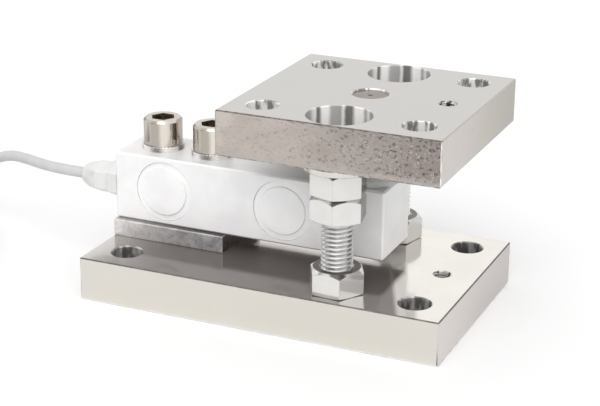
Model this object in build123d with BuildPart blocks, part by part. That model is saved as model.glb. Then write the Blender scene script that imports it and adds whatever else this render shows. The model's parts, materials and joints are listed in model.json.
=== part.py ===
from build123d import *
from math import pi, radians, sqrt, tan
import os

# A weigh module: a shear-beam load cell bolted to a base plate, with a top plate that stands
# on the beam's loaded end through a rocker pin and is guarded by two jack studs.
# Millimetres. The origin is under the middle of the base plate. +X runs along the beam from
# its fixed end to its loaded end, and +Z is up.

# Both plates
plate_width = 100.0
fixing_hole = 14.0
plate_bevel = 0.5
hole_bevel = 0.5
service_drill = 6.8
service_countersink = 8.4

# Base plate
base_length = 170.0
base_thickness = 20.0
base_hole_setback_x = 16.0
base_hole_setback_y = 15.0

# Top plate, centred on the load axis
top_length = 100.0
top_thickness = 20.0
top_hole_setback = 15.0
top_gap = 18.2

# Spacer plate under the beam's fixed end
spacer_length = 55.9
spacer_width = 37.8
spacer_thickness = 8.0
spacer_bevel = 0.4

# Beam, its places measured along it from the fixed end
beam_length = 132.0
beam_width = 31.8
beam_height = 31.8
beam_bevel = 0.8
clamp_setback = 16.8
clamp_spacing = 25.4
load_arm = 76.2
load_hole = 13.0
circuit_pocket_setback = 25.1
circuit_pocket_depth = 7.0
gauge_pocket_setback = 83.9
gauge_web = 3.0
pocket_diameter = 20.0
wire_channel = 3.6
wire_depth = 5.0

# Stamped covers over the pockets
cover_seat = 28.0
cover_seat_depth = 1.0
cover_pad = 22.4
cover_sheet = 0.5
cover_proud = 0.15
cover_round = 0.2

# Clamp screws and their wedge-lock washers
screw_thread = 12.0
screw_hole = 13.0
screw_head = 18.0
screw_head_height = 12.0
screw_socket = 10.0
screw_socket_depth = 6.0
screw_engagement = 12.7
screw_bevel = 1.0
lock_washer = 19.5
lock_washer_thickness = 1.25
lock_washer_gap = 0.05

# Jack studs, nuts and washers
stud_thread = 14.0
stud_setback = 15.0
stud_foot = 2.0
stud_reach = 7.0
stud_bevel = 1.2
nut_flats = 22.0
nut_height = 11.0
nut_end_face = 20.0
nut_corner_angle = 30.0
base_nut_turns = (-2.4, 16.2)
jam_nut_turns = (-16.4, -7.4)
jack_nut_turns = (-16.4, -2.4)
jack_washer = 30.0
jack_washer_hole = 15.0
jack_washer_thickness = 2.5
jack_bore = 28.0
jack_bore_bevel = 0.3

# Rocker pin, its cups and its boot
pin_diameter = 16.0
pin_waist = 13.0
pin_crown = 1.2
pin_crown_bulge = 0.2
pin_contact = 5.0
pin_play = 0.3
cup_diameter = 20.0
cup_depth = 13.8
cup_flange = 26.0
cup_flange_thickness = 2.0
cup_seat_depth = 8.0
neck_diameter = 15.5
neck_length = 7.3
neck_recess = 0.7
neck_dimple = 2.4
boot_diameter = 30.0
boot_wall = 1.8
boot_fold = 1.6

# Cable gland, with its axis in front of the clamp screws
gland_offset = 8.0
gland_thread = 10.0
gland_thread_length = 7.0
gland_hole_relief = 1.0
gland_flats = 15.0
gland_flange = 5.0
gland_neck = 10.4
gland_neck_length = 6.0
gland_neck_floor = 2.0
gland_nut_flats = 13.5
gland_nut_hex = 7.5
gland_nut_length = 14.7
gland_nut_mouth = 9.0
gland_bevel = 0.6
seal_diameter = 8.6
seal_length = 6.0
seal_nose = 2.5

# Cable and the wires inside the beam
cable_diameter = 5.2
cable_turn_spacing = 5.3
corner_share = 0.45
coil_inner_radius = 20.3
coil_turns_across = 3.583
coil_layers = 4
coil_lead = 22.0
jacket_reach = 5.0
cable_straight = 13.5
core_count = 5
core_diameter = 0.9
core_length = 24.0
core_fan = 1.5
wire_count = 4
wire_diameter = 0.6
wire_pitch = 0.75
wire_bend = 0.6
wire_lead = 0.8
wire_shift = 2.4

# Board and gauges inside the beam
board_diameter = 18.0
board_thickness = 1.0
resistor_length = 3.2
resistor_width = 1.6
resistor_height = 0.9
gauge_length = 8.0
gauge_width = 6.0
gauge_foil = 0.2
gauge_angle = 45.0

# Clearances: round a thread or a turned fit, and between loose faces
slip = 0.1
gap = 0.3

# Places that follow from the sizes
base_holes_x = base_length - 2 * base_hole_setback_x
base_holes_y = plate_width - 2 * base_hole_setback_y
top_holes_x = top_length - 2 * top_hole_setback
top_holes_y = plate_width - 2 * top_hole_setback
stud_spacing = plate_width - 2 * stud_setback
beam_start = -base_length / 2
beam_bottom = base_thickness + spacer_thickness
beam_top = beam_bottom + beam_height
beam_middle = beam_bottom + beam_height / 2
beam_front = -beam_width / 2
clamp_places = [beam_start + clamp_setback, beam_start + clamp_setback + clamp_spacing]
load_x = clamp_places[1] + load_arm
circuit_x = beam_start + circuit_pocket_setback
gauge_x = beam_start + gauge_pocket_setback
top_underside = beam_top + top_gap
top_face = top_underside + top_thickness
stud_places = [(load_x, -stud_spacing / 2), (load_x, stud_spacing / 2)]
washer_seat = top_underside - jack_washer_thickness
jack_nut_seat = washer_seat - nut_height
jam_nut_seat = jack_nut_seat - nut_height
gland_face = beam_start - gland_flange
gland_nut_start = gland_face - gap
cable_exit = gland_nut_start - gland_nut_length
jacket_end = beam_start + jacket_reach


def across(x, y=0.0):
    """Plane square to the beam at x, centred on the beam's middle height."""
    return Plane(origin=(x, y, beam_middle), x_dir=(0, 1, 0), z_dir=(1, 0, 0))


def upright(x, y, z):
    """Upright plane whose first axis is a radius along X and whose second is height."""
    return Plane(origin=(x, y, z), x_dir=(1, 0, 0), z_dir=(0, -1, 0))


def along_gland(x):
    """Plane through the gland's axis: first axis back along the cable, second a radius."""
    return Plane(origin=(x, -gland_offset, beam_middle), x_dir=(-1, 0, 0), z_dir=(0, 1, 0))


def rims(part, diameter, height):
    """The round edges of one diameter that lie at one height."""
    circles = part.edges().filter_by(GeomType.CIRCLE)
    level = circles.filter_by(lambda edge: abs(edge.center().Z - height) < slip)
    return level.filter_by(lambda edge: abs(2 * edge.radius - diameter) < slip)


# Base plate: drilled for its own fixings, tapped for the clamp screws and the jack studs

with BuildPart() as base_plate:
    with BuildSketch():
        Rectangle(base_length, plate_width)
    extrude(amount=base_thickness)
    chamfer(base_plate.edges(), plate_bevel)
    with Locations((0, 0, base_thickness)):
        with GridLocations(base_holes_x, base_holes_y, 2, 2):
            Hole(fixing_hole / 2)
    for face_height in (0, base_thickness):
        chamfer(rims(base_plate, fixing_hole, face_height), hole_bevel)
    with Locations(*[(x, 0, base_thickness) for x in clamp_places]):
        Hole(screw_thread / 2 + slip)
    with Locations(*[(x, y, base_thickness) for x, y in stud_places]):
        Hole(stud_thread / 2 + slip)
    with Locations((base_holes_x / 2, 0, base_thickness)):
        CounterSinkHole(service_drill / 2, service_countersink / 2)

# Spacer plate: lifts the beam clear of the base plate, so that only its fixed end is held

with BuildPart() as spacer_plate:
    with BuildSketch(Plane.XY.offset(base_thickness)):
        with Locations((beam_start + spacer_length / 2, 0)):
            Rectangle(spacer_length, spacer_width)
    extrude(amount=spacer_thickness)
    chamfer(spacer_plate.edges(), spacer_bevel)
    with Locations(*[(x, 0, beam_bottom) for x in clamp_places]):
        Hole(screw_hole / 2)

# Beam: a square bar with two clamp holes, a load hole and pockets in its sides

with BuildPart() as load_cell_beam:
    with BuildSketch(across(beam_start)):
        Rectangle(beam_width, beam_height)
    extrude(amount=beam_length)
    chamfer(load_cell_beam.edges(), beam_bevel)
    with Locations(*[(x, 0, beam_top) for x in clamp_places]):
        Hole(screw_hole / 2)
    with Locations((load_x, 0, beam_top)):
        CounterBoreHole(load_hole / 2, cup_diameter / 2 + slip, cup_depth)
    # Each pocket has a shallow seat for its cover; side 1 is the front face, -1 the back
    gauge_pocket_depth = (beam_width - gauge_web) / 2
    for x, side, depth in (
        (circuit_x, 1, circuit_pocket_depth),
        (gauge_x, 1, gauge_pocket_depth),
        (gauge_x, -1, gauge_pocket_depth),
    ):
        for diameter, deep in ((cover_seat, cover_seat_depth), (pocket_diameter, depth)):
            with BuildSketch(Plane.XZ.offset(side * beam_width / 2)):
                with Locations((x, beam_middle)):
                    Circle(diameter / 2)
            extrude(amount=-side * deep, mode=Mode.SUBTRACT)
    # The rear gauge's wires pass through the web beside the gauges
    web_hole_x = gauge_x + (pocket_diameter - wire_channel) / 2 - gap
    with BuildSketch(Plane.XZ.offset(-gauge_web)):
        with Locations((web_hole_x, beam_middle)):
            Circle(wire_channel / 2)
    extrude(amount=2 * gauge_web, mode=Mode.SUBTRACT)
    # Tapped hole for the gland, and the wire channel that runs on to both front pockets
    with BuildSketch(across(beam_start, -gland_offset)):
        Circle(gland_thread / 2 + slip)
    extrude(amount=gland_thread_length + gland_hole_relief, mode=Mode.SUBTRACT)
    wire_y = beam_front + wire_depth
    with BuildSketch(across(beam_start + gland_thread_length, wire_y)):
        Circle(wire_channel / 2)
    extrude(amount=gauge_x - beam_start - gland_thread_length, mode=Mode.SUBTRACT)


def pocket_cover(x, side):
    """Stamped cover: a flat rim on the beam's seat round a raised pad. side -1 is the front."""
    seat = Vector(x, side * (beam_width / 2 - cover_seat_depth), beam_middle)
    pad_height = cover_seat_depth + cover_proud
    rim_radius = cover_seat / 2 - slip
    pad_radius = cover_pad / 2
    with BuildPart() as cover:
        with BuildSketch(Plane(origin=seat, x_dir=(1, 0, 0), z_dir=(0, 0, side))):
            with BuildLine():
                Polyline(
                    (0, pad_height),
                    (pad_radius, pad_height),
                    (pad_radius, cover_sheet),
                    (rim_radius, cover_sheet),
                    (rim_radius, 0),
                    (pad_radius - cover_sheet, 0),
                    (pad_radius - cover_sheet, pad_height - cover_sheet),
                    (0, pad_height - cover_sheet),
                    close=True,
                )
            make_face()
        revolve(axis=Axis(seat, (0, side, 0)))
        pad = cover.faces().sort_by(Axis.Y)[-1 if side > 0 else 0]
        chamfer(pad.edges(), cover_round)
    return cover


circuit_pocket_cover = pocket_cover(circuit_x, -1)
gauge_cover_front = pocket_cover(gauge_x, -1)
gauge_cover_back = pocket_cover(gauge_x, 1)

# Shear gauges: bonded at 45 degrees on both sides of the web

with BuildPart() as strain_gauges:
    for side in (1, -1):
        with BuildSketch(Plane.XZ.offset(side * gauge_web / 2)):
            with Locations((gauge_x, beam_middle)):
                Rectangle(gauge_length, gauge_width, rotation=gauge_angle)
        extrude(amount=side * gauge_foil)

# Compensation board: lies on the floor of the circuit pocket, with its trimming resistors

board_y = beam_front + circuit_pocket_depth

with BuildPart() as compensation_board:
    with BuildSketch(Plane.XZ.offset(-board_y)):
        with Locations((circuit_x, beam_middle)):
            Circle(board_diameter / 2)
    extrude(amount=board_thickness)
    with BuildSketch(Plane.XZ.offset(-board_y + board_thickness)):
        with Locations((circuit_x, beam_middle)):
            with GridLocations(2 * resistor_length, board_diameter / 2, 2, 2):
                Rectangle(resistor_length, resistor_width)
    extrude(amount=resistor_height)


def wire_row(*points):
    """Wires side by side, which all follow the same (x, y) points."""
    with BuildPart() as wires:
        for k in range(wire_count):
            height = beam_middle + (k - (wire_count - 1) / 2) * wire_pitch
            with BuildLine():
                FilletPolyline(*[(x, y, height) for x, y in points], radius=wire_bend)
            start = Vector(*points[0], height)
            with BuildSketch(Plane(origin=start, z_dir=Vector(*points[1], height) - start)):
                Circle(wire_diameter / 2)
            sweep()
    return wires


# Wires: cable to board, board to front gauge, and front gauge to rear gauge

pad_y = board_y - board_thickness - slip
gauge_pad_y = gauge_web / 2 + gauge_foil + slip
pad_offset = board_diameter / 4
gauge_pad_offset = gauge_length / 4
lead_wires = wire_row(
    (jacket_end, -gland_offset),
    (jacket_end + wire_lead, -gland_offset),
    (jacket_end + wire_lead + wire_shift, wire_y),
    (circuit_x - pad_offset, wire_y),
    (circuit_x - pad_offset, pad_y),
)
bridge_wires = wire_row(
    (circuit_x + pad_offset, pad_y),
    (circuit_x + pad_offset, wire_y),
    (gauge_x - gauge_pad_offset, wire_y),
    (gauge_x - gauge_pad_offset, -gauge_pad_y),
)
web_wires = wire_row(
    (gauge_x + gauge_pad_offset, -gauge_pad_y),
    (gauge_x + gauge_pad_offset, -gauge_web),
    (web_hole_x, -gauge_web),
    (web_hole_x, gauge_web),
    (gauge_x + gauge_pad_offset, gauge_web),
    (gauge_x + gauge_pad_offset, gauge_pad_y),
)

# Cable gland: a threaded body, a rubber seal in its neck, and a domed nut over both

jacket_clearance = cable_diameter / 2 + gap
seal_start = gland_face - gland_neck_floor

with BuildPart() as gland_body:
    with BuildSketch(across(beam_start + gland_thread_length, -gland_offset)):
        Circle(gland_thread / 2)
    extrude(amount=-gland_thread_length)
    with BuildSketch(across(beam_start, -gland_offset)):
        RegularPolygon(gland_flats / 2, 6, major_radius=False, rotation=30)
    extrude(amount=-gland_flange)
    with BuildSketch(across(gland_face, -gland_offset)):
        Circle(gland_neck / 2)
    extrude(amount=-gland_neck_length)
    with BuildSketch(across(seal_start, -gland_offset)):
        Circle(seal_diameter / 2 + slip)
    extrude(amount=-gland_neck_length, mode=Mode.SUBTRACT)
    with BuildSketch(across(beam_start + gland_thread_length, -gland_offset)):
        Circle(jacket_clearance)
    extrude(amount=-gland_thread_length - gland_flange - gland_neck_length, mode=Mode.SUBTRACT)

with BuildPart() as gland_seal:
    with BuildSketch(along_gland(seal_start)):
        with BuildLine():
            Polyline(
                (0, cable_diameter / 2 + slip),
                (0, seal_diameter / 2),
                (seal_length, seal_diameter / 2),
                (seal_length + seal_nose, cable_diameter / 2 + gap),
                (seal_length + seal_nose, cable_diameter / 2 + slip),
                close=True,
            )
        make_face()
    revolve(axis=Axis((seal_start, -gland_offset, beam_middle), (-1, 0, 0)))

with BuildPart() as gland_nut:
    neck_room = gland_neck_length
    seal_room = gland_neck_floor + seal_length
    corner_radius = gland_nut_flats / sqrt(3)
    dome_start = gland_nut_flats / 2 - slip
    mouth = gland_nut_mouth / 2
    with BuildSketch(along_gland(gland_nut_start)):
        with BuildLine():
            Polyline(
                (gland_nut_length, mouth),
                (gland_nut_length, jacket_clearance),
                (seal_room + seal_nose, jacket_clearance),
                (seal_room, seal_diameter / 2 + gap),
                (neck_room, seal_diameter / 2 + gap),
                (neck_room, gland_neck / 2 + slip),
                (0, gland_neck / 2 + slip),
                (0, corner_radius - gland_bevel),
                (gland_bevel, corner_radius),
                (gland_nut_hex - gland_bevel, corner_radius),
                (gland_nut_hex, dome_start),
            )
            TangentArc(
                (gland_nut_hex, dome_start),
                (gland_nut_length, mouth),
                tangent=(1, 0),
            )
        make_face()
    revolve(axis=Axis((gland_nut_start, -gland_offset, beam_middle), (-1, 0, 0)))
    with BuildSketch(across(gland_nut_start, -gland_offset)):
        RegularPolygon(gland_nut_flats / 2, 6, major_radius=False, rotation=30)
    extrude(amount=-gland_nut_length, mode=Mode.INTERSECT)

# Cable: the stretch inside the gland, the free stretch, and the coil with its stripped end

with BuildPart() as cable_entry:
    with BuildSketch(across(cable_exit, -gland_offset)):
        Circle(cable_diameter / 2)
    extrude(amount=jacket_end - cable_exit)

coil_radius = coil_inner_radius + coil_turns_across * cable_turn_spacing
coil_top = (coil_layers - 0.5) * cable_diameter
route = [
    (cable_exit, -gland_offset, beam_middle),
    (cable_exit - cable_straight, -gland_offset, beam_middle),
    (-134.0, -1.8, 42.3),
    (-148.0, 6.3, 40.7),
    (-162.5, 14.5, 38.0),
    (-178.0, 20.0, 31.5),
    (-193.5, 17.5, 23.5),
    (-206.5, 8.0, coil_top),
    (-214.5, -4.5, coil_top),
]


def corner_radii(points):
    """Radius of each corner's arc: as large as the shorter of its two runs allows."""
    radii = []
    for before, corner, after in zip(points, points[1:], points[2:]):
        run_in, run_out = Vector(*corner) - Vector(*before), Vector(*after) - Vector(*corner)
        half_turn = radians(run_in.get_angle(run_out)) / 2
        radii.append(corner_share * min(run_in.length, run_out.length) / tan(half_turn))
    return radii


radii = corner_radii(route)
print("cable corner radii", [round(radius, 1) for radius in radii])

with BuildPart() as cable:
    with BuildLine() as cable_line:
        FilletPolyline(*route, radius=radii)
    with BuildSketch(Plane(origin=route[0], z_dir=Vector(*route[1]) - Vector(*route[0]))):
        Circle(cable_diameter / 2)
    sweep()

cable_run = cable_line.wires()[0].length
print("cable run", round(cable_run, 2), "volume", round(cable.part.volume, 2))
print("section times run", round(pi * cable_diameter**2 / 4 * cable_run, 2))

# The coil's solid is the outer shape of all its turns. The cable joins its outer turn at the
# top along a tangent, and the far end leaves the outer turn at the floor along another.

lead_start = Vector(*route[-1])
lead_way = (lead_start - Vector(*route[-2])).normalized()
lead_end = lead_start + lead_way * coil_lead
coil_middle = lead_end + lead_way.rotate(Axis.Z, 90) * coil_radius
coil_height = coil_layers * cable_diameter + gap
coil_inside = coil_inner_radius - cable_diameter / 2 - gap
coil_outside = coil_radius + cable_diameter / 2 + gap
tail_start = Vector(coil_middle.X - coil_radius, coil_middle.Y, (cable_diameter + gap) / 2)
tail_way = Vector(0, -1, 0)
tail_end = tail_start + tail_way * coil_lead

with BuildPart() as cable_coil:
    with BuildSketch(upright(coil_middle.X, coil_middle.Y, 0)):
        with Locations(((coil_inside + coil_outside) / 2, coil_height / 2)):
            RectangleRounded(coil_outside - coil_inside, coil_height, cable_diameter / 2)
    revolve(axis=Axis((coil_middle.X, coil_middle.Y, 0), (0, 0, 1)))
    for start, way in ((lead_start, lead_way), (tail_start, tail_way)):
        with BuildSketch(Plane(origin=start, z_dir=way)):
            Circle(cable_diameter / 2)
        extrude(amount=coil_lead)

turn_count = coil_layers * coil_turns_across + (coil_layers - 1) / 4
coil_cable = 2 * pi * turn_count * (coil_radius + coil_inner_radius) / 2
print("coil middle", round(coil_middle.X, 2), round(coil_middle.Y, 2), "radius", round(coil_radius, 2))
print("whole cable", round(cable_run + coil_cable + 2 * coil_lead))

# Stripped cores: fan out from the cable's cut end and lie down on the floor

with BuildPart() as cable_cores:
    for k in range(core_count):
        side_step = (k - (core_count - 1) / 2) * (core_diameter + slip)
        start = tail_end + Vector(side_step, -slip, 0)
        reach = Vector(side_step * core_fan, -core_length, core_diameter / 2 + slip - start.Z)
        with BuildSketch(Plane(origin=start, z_dir=reach)):
            Circle(core_diameter / 2)
        extrude(amount=reach.length)


def clamp_screw(x):
    """Hexagon socket head screw that stands on its lock washers."""
    seat = beam_top + 2 * lock_washer_thickness
    crown = seat + screw_head_height
    tip = base_thickness - screw_engagement
    with BuildPart() as screw:
        with BuildSketch(Plane.XY.offset(seat)):
            with Locations((x, 0)):
                Circle(screw_head / 2)
        extrude(amount=screw_head_height)
        chamfer(rims(screw, screw_head, crown), screw_bevel)
        with BuildSketch(Plane.XY.offset(tip)):
            with Locations((x, 0)):
                Circle(screw_thread / 2)
        extrude(amount=seat - tip)
        chamfer(rims(screw, screw_thread, tip), screw_bevel)
        with BuildSketch(Plane.XY.offset(crown)):
            with Locations((x, 0)):
                RegularPolygon(screw_socket / 2, 6, major_radius=False)
        extrude(amount=-screw_socket_depth, mode=Mode.SUBTRACT)
    return screw


def lock_washers(x):
    """Pair of wedge-lock washers, with a hair's breadth between their two rings."""
    ring = lock_washer_thickness - lock_washer_gap / 2
    with BuildPart() as pair:
        for bottom in (beam_top, beam_top + 2 * lock_washer_thickness - ring):
            with BuildSketch(Plane.XY.offset(bottom)):
                with Locations((x, 0)):
                    Circle(lock_washer / 2)
                    Circle(screw_hole / 2, mode=Mode.SUBTRACT)
            extrude(amount=ring)
    return pair


clamp_screw_outer, clamp_screw_inner = [clamp_screw(x) for x in clamp_places]
lock_washers_outer, lock_washers_inner = [lock_washers(x) for x in clamp_places]

# Rocker pin: stands between flat-bottomed cups, so that the top plate can shift a little

lower_seat = beam_top - cup_seat_depth
upper_seat = top_underside + cup_seat_depth
recess_radius = pin_diameter / 2 + pin_play

with BuildPart() as lower_cup:
    with BuildSketch(upright(load_x, 0, 0)):
        with BuildLine():
            Polyline(
                (0, beam_top - cup_depth),
                (cup_diameter / 2, beam_top - cup_depth),
                (cup_diameter / 2, beam_top),
                (cup_flange / 2, beam_top),
                (cup_flange / 2, beam_top + cup_flange_thickness),
                (recess_radius, beam_top + cup_flange_thickness),
                (recess_radius, lower_seat),
                (0, lower_seat),
                close=True,
            )
        make_face()
    revolve(axis=Axis((load_x, 0, 0), (0, 0, 1)))

with BuildPart() as rocker_pin:
    crown_low, crown_high = lower_seat + pin_crown, upper_seat - pin_crown
    waist_low, waist_high = crown_low + cup_seat_depth, crown_high - cup_seat_depth
    waist_step = (pin_diameter - pin_waist) / 2
    with BuildSketch(upright(load_x, 0, 0)):
        with BuildLine():
            Polyline((0, upper_seat), (0, lower_seat), (pin_contact / 2, lower_seat))
            SagittaArc(
                (pin_contact / 2, lower_seat),
                (pin_diameter / 2, crown_low),
                -pin_crown_bulge,
            )
            Polyline(
                (pin_diameter / 2, crown_low),
                (pin_diameter / 2, waist_low),
                (pin_waist / 2, waist_low + waist_step),
                (pin_waist / 2, waist_high - waist_step),
                (pin_diameter / 2, waist_high),
                (pin_diameter / 2, crown_high),
            )
            SagittaArc(
                (pin_diameter / 2, crown_high),
                (pin_contact / 2, upper_seat),
                -pin_crown_bulge,
            )
            Line((pin_contact / 2, upper_seat), (0, upper_seat))
        make_face()
    revolve(axis=Axis((load_x, 0, 0), (0, 0, 1)))

with BuildPart() as upper_cup:
    shoulder = top_face - neck_length - gap
    crown = top_face - neck_recess
    with BuildSketch(upright(load_x, 0, 0)):
        with BuildLine():
            Polyline(
                (0, upper_seat),
                (recess_radius, upper_seat),
                (recess_radius, top_underside - cup_flange_thickness),
                (cup_flange / 2, top_underside - cup_flange_thickness),
                (cup_flange / 2, top_underside),
                (cup_diameter / 2, top_underside),
                (cup_diameter / 2, shoulder),
                (neck_diameter / 2, shoulder),
                (neck_diameter / 2, crown),
                (neck_dimple / 2, crown),
                (0, crown - neck_dimple / 2),
                close=True,
            )
        make_face()
    revolve(axis=Axis((load_x, 0, 0), (0, 0, 1)))

# Dust boot: a rubber bellows round the pin, held over the flanges of both cups

with BuildPart() as dust_boot:
    crest = boot_diameter / 2
    valley = crest - boot_fold
    band = cup_flange_thickness + gap
    fold_pitch = (top_gap - 2 * band) / 4
    outer_line = [
        (crest, beam_top),
        (crest, beam_top + band),
        (valley, beam_top + band + fold_pitch),
        (crest, beam_top + band + 2 * fold_pitch),
        (valley, beam_top + band + 3 * fold_pitch),
        (crest, top_underside - band),
        (crest, top_underside),
    ]
    inner_line = [(radius - boot_wall, height) for radius, height in reversed(outer_line)]
    with BuildSketch(upright(load_x, 0, 0)):
        with BuildLine():
            Polyline(*outer_line, *inner_line, close=True)
        make_face()
    revolve(axis=Axis((load_x, 0, 0), (0, 0, 1)))

# Top plate: rests on the upper cup, with fixing holes, bores over the studs and a tapped hole

with BuildPart() as top_plate:
    with BuildSketch(Plane.XY.offset(top_underside)):
        with Locations((load_x, 0)):
            Rectangle(top_length, plate_width)
    extrude(amount=top_thickness)
    chamfer(top_plate.edges(), plate_bevel)
    with Locations((load_x, 0, top_face)):
        with GridLocations(top_holes_x, top_holes_y, 2, 2):
            Hole(fixing_hole / 2)
        Hole(neck_diameter / 2 + slip)
    with Locations(*[(x, y, top_face) for x, y in stud_places]):
        Hole(jack_bore / 2)
    for face_height in (top_underside, top_face):
        chamfer(rims(top_plate, fixing_hole, face_height), hole_bevel)
        chamfer(rims(top_plate, jack_bore, face_height), jack_bore_bevel)
    chamfer(rims(top_plate, neck_diameter + 2 * slip, top_face), hole_bevel)
    with Locations((load_x + top_holes_x / 2, 0, top_face)):
        CounterSinkHole(service_drill / 2, service_countersink / 2)
    with BuildSketch(Plane.XY.offset(top_underside)):
        with Locations((load_x, 0)):
            Circle(cup_diameter / 2 + slip)
    extrude(amount=top_thickness - neck_length, mode=Mode.SUBTRACT)


def jack_stud(x, y):
    """Threaded stud, screwed right through the base plate, that ends inside the bore."""
    top = top_underside + stud_reach
    with BuildPart() as stud:
        with BuildSketch(Plane.XY.offset(stud_foot)):
            with Locations((x, y)):
                Circle(stud_thread / 2)
        extrude(amount=top - stud_foot)
        chamfer(stud.edges().filter_by(GeomType.CIRCLE), stud_bevel)
    return stud


def hex_nut(x, y, seat, turn):
    """Hexagon nut that stands on a seat height, turned about its stud by an angle."""
    face_radius = nut_end_face / 2
    corner_radius = nut_flats / sqrt(3)
    corner_drop = (corner_radius - face_radius) * tan(radians(nut_corner_angle))
    bore_radius = stud_thread / 2 + slip
    with BuildPart() as nut:
        with BuildSketch(Plane.XY.offset(seat)):
            with Locations((x, y)):
                RegularPolygon(nut_flats / 2, 6, major_radius=False, rotation=turn)
        extrude(amount=nut_height)
        with BuildSketch(upright(x, y, seat)):
            with BuildLine():
                Polyline(
                    (bore_radius, hole_bevel),
                    (bore_radius + hole_bevel, 0),
                    (face_radius, 0),
                    (corner_radius, corner_drop),
                    (corner_radius, nut_height - corner_drop),
                    (face_radius, nut_height),
                    (bore_radius + hole_bevel, nut_height),
                    (bore_radius, nut_height - hole_bevel),
                    close=True,
                )
            make_face()
        revolve(axis=Axis((x, y, 0), (0, 0, 1)), mode=Mode.INTERSECT)
    return nut


def flat_washer(x, y):
    """Large washer under the top plate, which bridges the bore over the stud."""
    with BuildPart() as washer:
        with BuildSketch(Plane.XY.offset(washer_seat)):
            with Locations((x, y)):
                Circle(jack_washer / 2)
                Circle(jack_washer_hole / 2, mode=Mode.SUBTRACT)
        extrude(amount=jack_washer_thickness)
    return washer


jack_stud_front, jack_stud_back = [jack_stud(x, y) for x, y in stud_places]
base_lock_nut_front, base_lock_nut_back = [
    hex_nut(x, y, base_thickness, turn)
    for (x, y), turn in zip(stud_places, base_nut_turns)
]
jam_nut_front, jam_nut_back = [
    hex_nut(x, y, jam_nut_seat, turn)
    for (x, y), turn in zip(stud_places, jam_nut_turns)
]
jack_nut_front, jack_nut_back = [
    hex_nut(x, y, jack_nut_seat, turn)
    for (x, y), turn in zip(stud_places, jack_nut_turns)
]
jack_washer_front, jack_washer_back = [flat_washer(x, y) for x, y in stud_places]

pieces = {
    "base_plate": base_plate,
    "spacer_plate": spacer_plate,
    "load_cell_beam": load_cell_beam,
    "circuit_pocket_cover": circuit_pocket_cover,
    "gauge_cover_front": gauge_cover_front,
    "gauge_cover_back": gauge_cover_back,
    "strain_gauges": strain_gauges,
    "compensation_board": compensation_board,
    "lead_wires": lead_wires,
    "bridge_wires": bridge_wires,
    "web_wires": web_wires,
    "gland_body": gland_body,
    "gland_seal": gland_seal,
    "gland_nut": gland_nut,
    "cable_entry": cable_entry,
    "cable": cable,
    "cable_coil": cable_coil,
    "cable_cores": cable_cores,
    "clamp_screw_outer": clamp_screw_outer,
    "clamp_screw_inner": clamp_screw_inner,
    "lock_washers_outer": lock_washers_outer,
    "lock_washers_inner": lock_washers_inner,
    "lower_cup": lower_cup,
    "rocker_pin": rocker_pin,
    "upper_cup": upper_cup,
    "dust_boot": dust_boot,
    "top_plate": top_plate,
    "jack_stud_front": jack_stud_front,
    "jack_stud_back": jack_stud_back,
    "base_lock_nut_front": base_lock_nut_front,
    "base_lock_nut_back": base_lock_nut_back,
    "jam_nut_front": jam_nut_front,
    "jam_nut_back": jam_nut_back,
    "jack_nut_front": jack_nut_front,
    "jack_nut_back": jack_nut_back,
    "jack_washer_front": jack_washer_front,
    "jack_washer_back": jack_washer_back,
}

os.makedirs("parts", exist_ok=True)
for name, piece in pieces.items():
    piece.part.label = name
    export_step(piece.part, f"parts/{name}.step")
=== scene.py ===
# %% [markdown]
# A weigh module: a steel bar that senses weight, bolted to a base plate, with a drilled
# top plate standing on its free end. The metal solids come ready from the CAD model. Added
# here is what a drawing leaves out: the way each face was sawn, ground or plated, the
# threads on the studs, the teeth of the lock washers and the coiled cable.

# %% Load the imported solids
import bmesh
import bpy
import json
from math import cos, pi, radians, sin
from mathutils import Matrix, Vector

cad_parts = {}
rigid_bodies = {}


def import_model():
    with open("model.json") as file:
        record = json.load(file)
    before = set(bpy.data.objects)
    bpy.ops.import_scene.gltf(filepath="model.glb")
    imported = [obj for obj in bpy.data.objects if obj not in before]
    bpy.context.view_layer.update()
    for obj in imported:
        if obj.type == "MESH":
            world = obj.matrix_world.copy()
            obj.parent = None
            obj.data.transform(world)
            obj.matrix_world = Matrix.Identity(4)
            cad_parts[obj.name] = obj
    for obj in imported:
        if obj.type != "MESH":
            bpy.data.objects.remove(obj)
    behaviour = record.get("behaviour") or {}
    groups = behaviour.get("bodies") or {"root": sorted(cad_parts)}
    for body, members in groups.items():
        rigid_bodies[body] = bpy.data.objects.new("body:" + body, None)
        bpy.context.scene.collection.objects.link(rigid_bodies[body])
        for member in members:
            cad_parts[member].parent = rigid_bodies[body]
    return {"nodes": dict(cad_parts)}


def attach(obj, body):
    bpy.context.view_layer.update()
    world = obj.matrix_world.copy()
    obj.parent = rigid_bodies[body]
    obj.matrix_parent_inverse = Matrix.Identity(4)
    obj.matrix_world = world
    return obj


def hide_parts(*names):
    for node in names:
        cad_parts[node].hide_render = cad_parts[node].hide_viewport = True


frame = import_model()
in_scene = bpy.context.scene.collection.objects
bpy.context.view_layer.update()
print("solids from the drawing:", len(frame["nodes"]))

# %% [markdown]
# Places that several steps share are written once, in metres. They are the drawing's own
# places: the load stands 33.4 mm right of the base plate's middle, and the two jack studs
# stand on the same line, in front of and behind the bar.

# %% Shared places
load_x = 0.0334
stud_y = 0.035
studs = {"front": -stud_y, "back": stud_y}
stud_foot, stud_tip, stud_radius = 0.002, 0.085, 0.007
base_top = 0.020
base_right, base_tap_x = 0.085, 0.069
plate_left, plate_right, plate_tap_x = load_x - 0.05, load_x + 0.05, load_x + 0.035
plates_front, plates_back = -0.05, 0.05
beam_high = 0.0598
plate_low, plate_high = 0.078, 0.098
screw_places = (-0.0682, -0.0428)
print("room for the boot:", round(plate_low - beam_high, 4), "m")

# %% [markdown]
# The camera stands in front of the module and to its right, a little above it, with a long
# lens, so that the plates' edges stay nearly parallel. Turn, tilt and roll are given as
# angles, and the three axes of the camera are worked out from them.

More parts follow.
